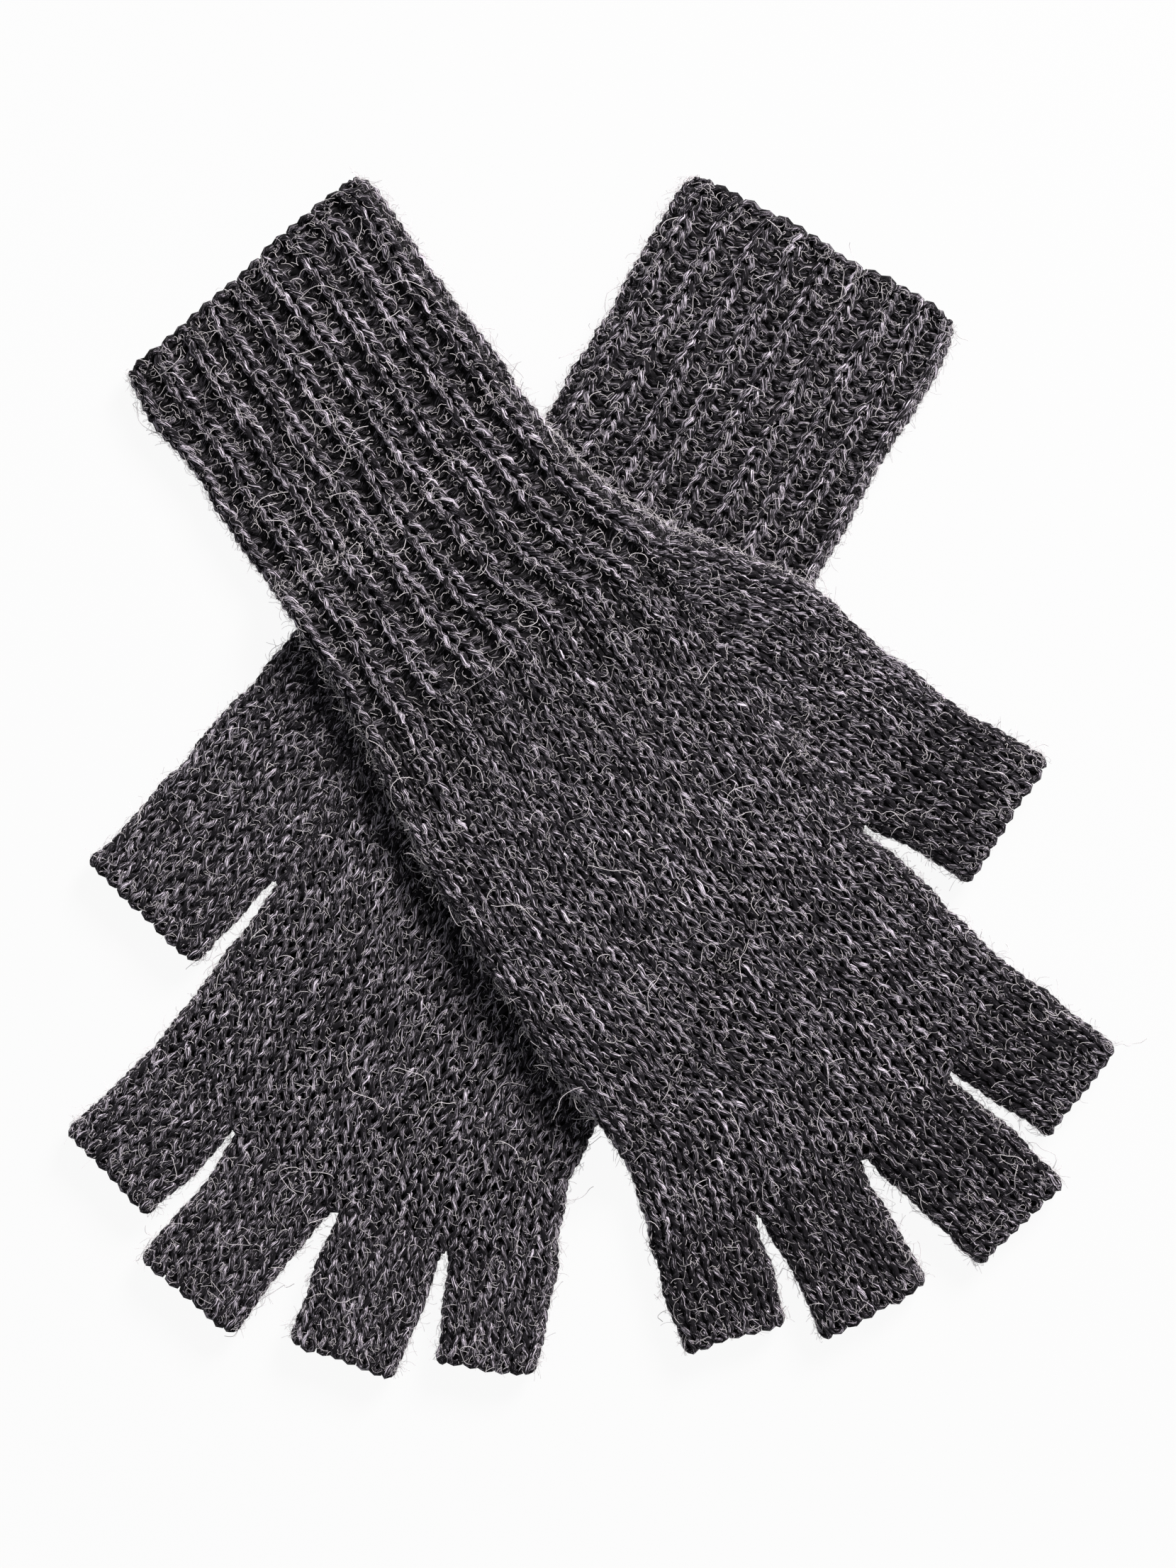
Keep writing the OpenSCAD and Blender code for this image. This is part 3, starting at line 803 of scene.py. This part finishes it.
def marl_group():
    """Streaks of pale fibre, their colour and height, from a place along and round the yarn."""
    g = Tree("marl", "ShaderNodeTree",
             [("Place", "Vector", None), ("Twist", "Float", 0.9), ("Streak Length", "Float", 0.3),
              ("Pale Share", "Float", 0.28), ("Dark", "Color", (0.007, 0.006, 0.008, 1)),
              ("Pale", "Color", (0.89, 0.81, 0.92, 1))],
             [("Color", "Color"), ("Height", "Float")])
    x, y, along = g.parts(g.given["Place"])
    turn = g.times(along, g.given["Twist"])
    sine, cosine = g.sine(turn), g.sine(turn, "COSINE")
    round_x = g.math("ADD", g.times(x, cosine), g.times(y, sine))
    round_y = g.math("SUBTRACT", g.times(y, cosine), g.times(x, sine))
    slow = g.math("DIVIDE", along, g.given["Streak Length"])
    narrow = g.vector(g.times(round_x, STREAKS_ROUND),
                      g.times(round_y, STREAKS_ROUND), slow)
    fibres = g.node("ShaderNodeTexNoise", {"Vector": narrow, "Scale": 1.0, "Detail": 3.0, "Roughness": 0.6})
    wide = g.vector(round_x, round_y, g.times(slow, PATCH_SHARE))
    patch = g.node("ShaderNodeTexNoise", {"Vector": wide, "Scale": 0.7, "Detail": 1.0})
    level = g.math("MULTIPLY_ADD", g.math("SUBTRACT", patch, 0.5), PATCH_WEIGHT, fibres)
    edge = g.math("SUBTRACT", NO_STREAKS, g.times(g.given["Pale Share"], 0.5))
    pale = g.node("ShaderNodeMapRange", {
        "Value": level, "From Min": g.math("SUBTRACT", edge, STREAK_EDGES[0]),
        "From Max": g.math("ADD", edge, STREAK_EDGES[1])}, interpolation_type="SMOOTHSTEP")
    colour = g.node("ShaderNodeMix", {0: pale, 6: g.given["Dark"], 7: g.given["Pale"]}, out=2,
                    data_type="RGBA")
    g.feed(g.result["Color"], colour)
    g.feed(g.result["Height"], fibres)
    return g.tree


marl = marl_group()
print("nodes in the marl:", len(marl.nodes))


# %% Marled wool
STREAK_RELIEF = 0.3 * MM


def wool(name, **values):
    """A wool material whose marl follows the yarn, with painted shade in a rib's furrows."""
    material = bpy.data.materials.new(name)
    material.use_nodes = True
    nodes, links = material.node_tree.nodes, material.node_tree.links
    shader = nodes["Principled BSDF"]
    shader.inputs["Roughness"].default_value = 0.72
    shader.inputs["Specular IOR Level"].default_value = 0.12
    shader.inputs["Sheen Weight"].default_value = 0.03
    shader.inputs["Sheen Roughness"].default_value = 0.5
    place = nodes.new("ShaderNodeAttribute")
    place.attribute_name = "yarn_place"
    group = nodes.new("ShaderNodeGroup")
    group.node_tree = marl
    links.new(place.outputs["Vector"], group.inputs["Place"])
    for label, value in values.items():
        group.inputs[label.replace("_", " ")].default_value = value
    # Painted shade: the marl's colour is mixed towards black in a rib's furrows, by the share that the
    # knitting tree keeps.
    painted_furrow_shade = nodes.new("ShaderNodeAttribute")
    painted_furrow_shade.attribute_name = "painted_furrow_shade"
    shaded = nodes.new("ShaderNodeMix")
    shaded.data_type = "RGBA"
    shaded.inputs[7].default_value = (0, 0, 0, 1)
    links.new(painted_furrow_shade.outputs["Fac"], shaded.inputs["Factor"])
    links.new(group.outputs["Color"], shaded.inputs[6])
    ridges = nodes.new("ShaderNodeBump")
    ridges.inputs["Strength"].default_value = 0.8
    ridges.inputs["Distance"].default_value = STREAK_RELIEF
    links.new(group.outputs["Height"], ridges.inputs["Height"])
    links.new(shaded.outputs[2], shader.inputs["Base Color"])
    links.new(ridges.outputs["Normal"], shader.inputs["Normal"])
    return material


plain_yarn = wool("plain_yarn")
rib_yarn = wool("rib_yarn", Pale_Share=0.31)
edge_yarn = wool("edge_yarn", Pale_Share=0.29)
# Painted shade: the right glove's digits take a darker copy of the yarn, with fewer pale streaks, so that
# they look less lit than the left glove's.
digit_yarn = dict(right=wool("right_digit_yarn_painted_shade", Pale_Share=0.22),
                  left=wool("left_digit_yarn", Pale_Share=0.285))
print("yarns:", [yarn.name for yarn in (plain_yarn, rib_yarn, edge_yarn, *digit_yarn.values())])


# %% Loose fibres and lining
def plain_wool(name, colour, roughness):
    material = bpy.data.materials.new(name)
    material.use_nodes = True
    shader = material.node_tree.nodes["Principled BSDF"]
    shader.inputs["Base Color"].default_value = (*colour, 1)
    shader.inputs["Roughness"].default_value = roughness
    shader.inputs["Specular IOR Level"].default_value = 0.2
    return material


loose_fibre = plain_wool("loose_fibre", (0.72, 0.68, 0.69), 0.6)
# The lining's near-black is partly the yarn's dark fibre and partly painted shade between the loops.
lining_wool_painted_shade = plain_wool("lining_wool_painted_shade", (0.012, 0.0105, 0.0125), 0.9)
print("plain materials:", loose_fibre.name, lining_wool_painted_shade.name)

# %% [markdown]
# ## Knitting the sections
#
# Each glove is worked from the cuff's mouth to the fingers. Cuff and wrist share the same wales,
# in a rib of one plain wale and one purl. The hand is a wide plain strip that folds round the
# little finger's side, with the thumb's gusset as a strip of its own, whose wales lean outwards
# with the thumb. The digits are tubes. A section that crosses a fold line keeps its place and is
# set on no body.

# %% Outlines of the digits
def digit_root(side, digit):
    """The middle of a digit's root, its direction, and half its width at either end."""
    middle, way = hinge_line(f"{side}_{digit}_fold")
    beside = thumbward(side, way)
    root = (mesh_points(f"{side}_{digit}")[:, :2] - middle) @ np.stack([way, beside], 1)
    tip = (mesh_points(f"{side}_{digit}_edge")[:, :2] - middle) @ np.stack([way, beside], 1)
    gap = root[:, 0].min()
    return dict(middle=middle, way=way, beside=beside, half=root[root[:, 0] < gap + MM, 1].max() + gap,
                end_half=tip[:, 1].max(), length=tip[:, 0].max())


roots = {side: {digit: digit_root(side, digit) for digit in DIGITS} for side in SIDES}
for side in SIDES:
    print(side, {digit: [round(2 * root["half"] / MM, 1), round(root["length"] / MM, 1)]
                 for digit, root in roots[side].items()})

# %% Outlines of the rib and the hand
MOUTH_BAND = 0.6 * MM
SHARED = 1e-5


def glove_lines(side):
    """The edge lines of every section of one glove, measured on the frame."""
    origin, cuff_way = hinge_line(side + "_cuff_turn")
    along = -cuff_way
    across = thumbward(side, along)
    mouth = mesh_points(side + "_cuff_edge")[:, :2]
    ends = []
    for outer in (-1, 1):
        reach = outer * (mouth - origin) @ across
        widest = mouth[reach > reach.max() - MOUTH_BAND]
        ends.append(widest[np.argmin((widest - origin) @ along)])
    wrist, hand = mesh_points(side + "_wrist_rib")[:, :2], mesh_points(side + "_hand")[:, :2]
    gap = np.linalg.norm(wrist[:, None] - hand[None], axis=2).min(1)
    shared = wrist[gap < SHARED]
    reach = (shared - origin) @ across
    heel = [shared[np.argmin(reach)], shared[np.argmax(reach)]]
    rib = []
    for end, top, outer in zip(ends, heel, (-1, 1)):
        stop = (top - origin) @ along - 0.5 * MM
        sides = edge_line([side + "_wrist_rib"], origin, along, across, 0.2 * MM, stop, outer)
        rib.append(np.concatenate([[end], sides, [top]]))
    hand_across = (heel[1] - heel[0]) / np.linalg.norm(heel[1] - heel[0])
    hand_along = np.array([hand_across[1], -hand_across[0]]) * (1 if side == "right" else -1)

    def corner(digit, end):
        root = roots[side][digit]
        return root["middle"] + end * root["half"] * root["beside"]

    chain = [corner("little", -1)] + [corner(digit, 1) for digit in DIGITS[:4]]
    return dict(rib=rib, heel=heel, along=hand_along, across=hand_across, chain=np.array(chain),
                crotch=corner("thumb", -1), thumb_far=corner("thumb", 1))


gloves = {side: glove_lines(side) for side in SIDES}
for side in SIDES:
    heel = gloves[side]["heel"]
    print(side, "width at the heel, mm:", round(np.linalg.norm(heel[1] - heel[0]) / MM, 1))

# %% The patterns
RIB = dict(Rib=1.0, Ridge_Depth=1.05 * MM, Loop_Height=0.8, Loop_Depth=0.75 * MM, Lean=0.25,
           Yarn_Radius=0.9 * MM, Lining_Depth=1.5 * MM)
FURROW_SHADE = dict(right=0.8, left=0.55)  # painted shade in the rib's furrows; less on the left cuff, which lies more relaxed
# The fading rib near the wrist takes painted shade in its furrows too.
FADING_RIB = dict(Ridge_Depth=0.8 * MM, Ridge_Repeat=3.0, Ridge_Shift=0.75, Ridge_Courses=16.0,
                  Furrow_Shade=0.6, Lining_Depth=1.9 * MM)
CHAIN = dict(Rope=1.0, Phase_Step=0.5, Course_Step=0.0, Loop_Height=0.22, Loop_Depth=0.55 * MM, Lean=0.0,
             Yarn_Radius=0.5 * MM, Points_per_Stitch=8)
EDGE_FUZZ = 600000.0
RIB_WALES = 36
HAND_WALES = 50
HAND_COURSES = 43
GUSSET_COURSES = 25
# Each part of the hand's strip: first wale, wales, points for each stitch and sides of the yarn.
HAND_PARTS = dict(back_outer=(0, 13, 10, 5), back_inner=(13, 12, 10, 5), palm=(25, 25, 8, 4))
print("wales round the rib and the hand:", RIB_WALES, HAND_WALES)

# %% Knitting one section
seeds = iter(range(1, 200))


def knit(name, data, first_wale, wales, first_course, courses, material, **values):
    """One section's knit as a plain mesh."""
    return grow(name, data, section, First_Wale=float(first_wale), Wales=wales, Seed=float(next(seeds)),
                First_Course=float(first_course + 0.5), Courses=courses, Yarn=material, Fibre=loose_fibre,
                Dark=lining_wool_painted_shade, **values)


def finish_piece(made, side, nodes, blend=None):
    """Hides the imported nodes that a piece stands for. Without a blend it sets the piece on its glove's
    body; with one it only bakes the piece's place.
    """
    if blend:
        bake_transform(made)
    else:
        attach(made, side + "_glove")
    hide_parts(*nodes)


def edge_chain(name, data, wales, course):
    """A cast-on or bind-off chain round the end of a tube."""
    return grow(name, data, knitting, First_Wale=0.0, Wales=wales, First_Course=float(course), Courses=2,
                Yarn=edge_yarn, Seed=float(next(seeds)), Ring_Start=0.0, Ring_End=float(wales), **CHAIN)


# %% Cuff and wrist
MOUTH_PULL = (2.2, 0.7, 0.2)  # mm by which the cast-on draws in the first courses at either side
TURNED_SHARE = 45 / 104       # of the rib's length
CUFF_BEND = 12 * MM           # length over which the cloth would bend where the cuff turns back; it goes only into the blend


def raised(xy):
    """A point in plan, at the height of the fold lines."""
    return (*xy, thick)


def knit_rib(side):
    lines = gloves[side]["rib"]
    courses = round(np.linalg.norm(np.diff(lines[0], axis=0), axis=1).sum() / RIB_COURSE)
    edges = [even_points(line, courses + 1) for line in lines]
    for i, inward in enumerate(MOUTH_PULL):
        beside = (edges[1][i] - edges[0][i]) / np.linalg.norm(edges[1][i] - edges[0][i])
        edges[0][i] += inward * MM * beside
        edges[1][i] -= inward * MM * beside
    rib = skin(side + "_rib_skin", side, *edges, courses, RIB_WALES)
    turn, cuff_way = hinge_line(side + "_cuff_turn")
    turned = round(courses * TURNED_SHARE)
    blend = (side + "_glove", side + "_cuff", raised(turn), raised(turn + CUFF_BEND * cuff_way))
    pattern = dict(Ring_Start=0.0, Ring_End=float(RIB_WALES), Furrow_Shade=FURROW_SHADE[side], **RIB)
    made = knit(side + "_cuff_edge_knit", rib, 0, RIB_WALES, 0, 1, edge_yarn, Fuzz_Density=EDGE_FUZZ,
                **pattern)
    finish_piece(made, side, [side + "_cuff_edge"], blend)
    made = edge_chain(side + "_cuff_chain", rib, RIB_WALES, 0.1)
    finish_piece(made, side, [side + "_cuff_edge"], blend)
    made = knit(side + "_cuff_knit", rib, 0, RIB_WALES, 1, turned - 1, rib_yarn, **pattern)
    finish_piece(made, side, [side + "_cuff_rib"], blend)
    made = knit(side + "_wrist_knit", rib, 0, RIB_WALES, turned, courses - turned, rib_yarn, **pattern)
    finish_piece(made, side, [side + "_wrist_rib"])


# %% Hand and gusset
GUSSET_START = 6.5 * MM    # from the thumb's side of the heel to the first line of the gusset
GUSSET_UNDER = 3 * MM      # how far the gusset runs on under the hand's edge
FAN_START = 0.35           # share of the hand's length at which the courses begin to curve
CLOSING = 0.08             # share of its length over which the hand's square edge becomes a fold


def side_edge(side, start, end, outer):
    """A hand's side edge between two corners, without the last millimetre at either end."""
    lines = gloves[side]
    reach = (end - start) @ lines["along"]
    middle = edge_line([side + "_hand"], start, lines["along"], lines["across"], MM, reach - MM, outer)
    return np.concatenate([[start], middle, [end]])


def knit_hand(side):
    lines = gloves[side]
    across, heel, crotch, chain = lines["across"], lines["heel"], lines["crotch"], lines["chain"]
    joint = heel[1] - GUSSET_START * across
    second = even_points([joint, crotch, *even_points([crotch, chain[-1]], 6)[1:]], HAND_COURSES + 1)
    first = even_points(side_edge(side, heel[0], chain[0], -1), HAND_COURSES + 1)
    before, after = np.linalg.norm(crotch - joint), np.linalg.norm(chain[-1] - crotch)
    share = np.linspace(0, 1, HAND_COURSES + 1)
    closure = ease((share - before / (before + after)) / CLOSING)
    chain_reach = np.concatenate([[0], np.cumsum(np.linalg.norm(np.diff(chain, axis=0), axis=1))])
    chain_reach /= chain_reach[-1]

    def fan(i, q):
        """Bends a row towards the line of the roots, more so the nearer it is to them."""
        on_root = np.stack([np.interp(q, chain_reach, chain[:, k]) for k in (0, 1)], 1)
        on_chord = chain[0] + q[:, None] * (chain[-1] - chain[0])
        return ease((share[i] - FAN_START) / (1 - FAN_START)) * (on_root - on_chord)

    hand = skin(side + "_hand_skin", side, first, second, HAND_COURSES, HAND_WALES, closure, fan)
    for part, (start, wales, points, sides) in HAND_PARTS.items():
        made = knit(f"{side}_hand_{part}_knit", hand, start, wales, 0, HAND_COURSES, plain_yarn,
                    Points_per_Stitch=points, Sides=sides, Ring_Start=0.0, Ring_End=float(HAND_WALES),
                    **FADING_RIB)
        finish_piece(made, side, [side + "_hand"])
    inner = np.array([joint, crotch]) - GUSSET_UNDER * across
    outer = side_edge(side, heel[1], lines["thumb_far"], 1)
    gusset = skin(side + "_gusset_skin", side, even_points(inner, GUSSET_COURSES + 1),
                  even_points(outer, GUSSET_COURSES + 1), GUSSET_COURSES)
    made = knit(side + "_gusset_knit", gusset, -12, 24, 0, GUSSET_COURSES, plain_yarn)
    finish_piece(made, side, [side + "_hand"])


# %% Digits
DIGIT_BEND = 10 * MM


def knit_digit(side, digit):
    name, root = f"{side}_{digit}", roots[side][digit]
    courses = round(root["length"] / COURSE)
    wales = round(2 * root["half"] / WALE) * 2
    steps = np.linspace(0, 1, courses + 1)[:, None]
    half = root["half"] + (root["end_half"] - root["half"]) * steps
    middle = root["middle"] + steps * root["length"] * root["way"]
    tube = skin(name + "_skin", side, middle - half * root["beside"], middle + half * root["beside"],
                courses, wales)
    blend = (side + "_glove", name, raised(root["middle"]), raised(root["middle"] + DIGIT_BEND * root["way"]))
    around = dict(Ring_Start=0.0, Ring_End=float(wales))
    made = knit(name + "_knit", tube, 0, wales, 0, courses - 1, digit_yarn[side], **around)
    finish_piece(made, side, [name], blend)
    made = knit(name + "_edge_knit", tube, 0, wales, courses - 1, 1, edge_yarn, Fuzz_Density=EDGE_FUZZ,
                **around)
    finish_piece(made, side, [name + "_edge"], blend)
    made = edge_chain(name + "_chain", tube, wales, courses - 0.1)
    finish_piece(made, side, [name + "_edge"], blend)


# %% Both gloves
for side in SIDES:
    knit_rib(side)
    knit_hand(side)
    for digit in DIGITS:
        knit_digit(side, digit)

triangles = [sum(len(face.vertices) - 2 for face in piece.data.polygons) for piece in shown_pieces()]
print("pieces:", len(triangles), "triangles:", sum(triangles), "most:", max(triangles))

# %% [markdown]
# ## The table
#
# The table glows a little by itself, so it stays an even near-white and takes only a faint shadow.

# %% The table
TABLE_HALF = 3.0
corners = [(x * TABLE_HALF, y * TABLE_HALF, 0) for x, y in ((-1, -1), (1, -1), (1, 1), (-1, 1))]
table_data = bpy.data.meshes.new("table_top")
table_data.from_pydata(corners, [], [(0, 1, 2, 3)])
table_top = bpy.data.objects.new("table_top", table_data)
put_in_scene(table_top)
white = bpy.data.materials.new("table_white")
white.use_nodes = True
paper = white.node_tree.nodes["Principled BSDF"].inputs
paper["Base Color"].default_value = (0.015, 0.015, 0.015, 1)
paper["Roughness"].default_value = 0.9
paper["Emission Color"].default_value = (1, 1, 1, 1)
paper["Emission Strength"].default_value = 0.935
table_data.materials.append(white)
print("table, m:", 2 * TABLE_HALF)
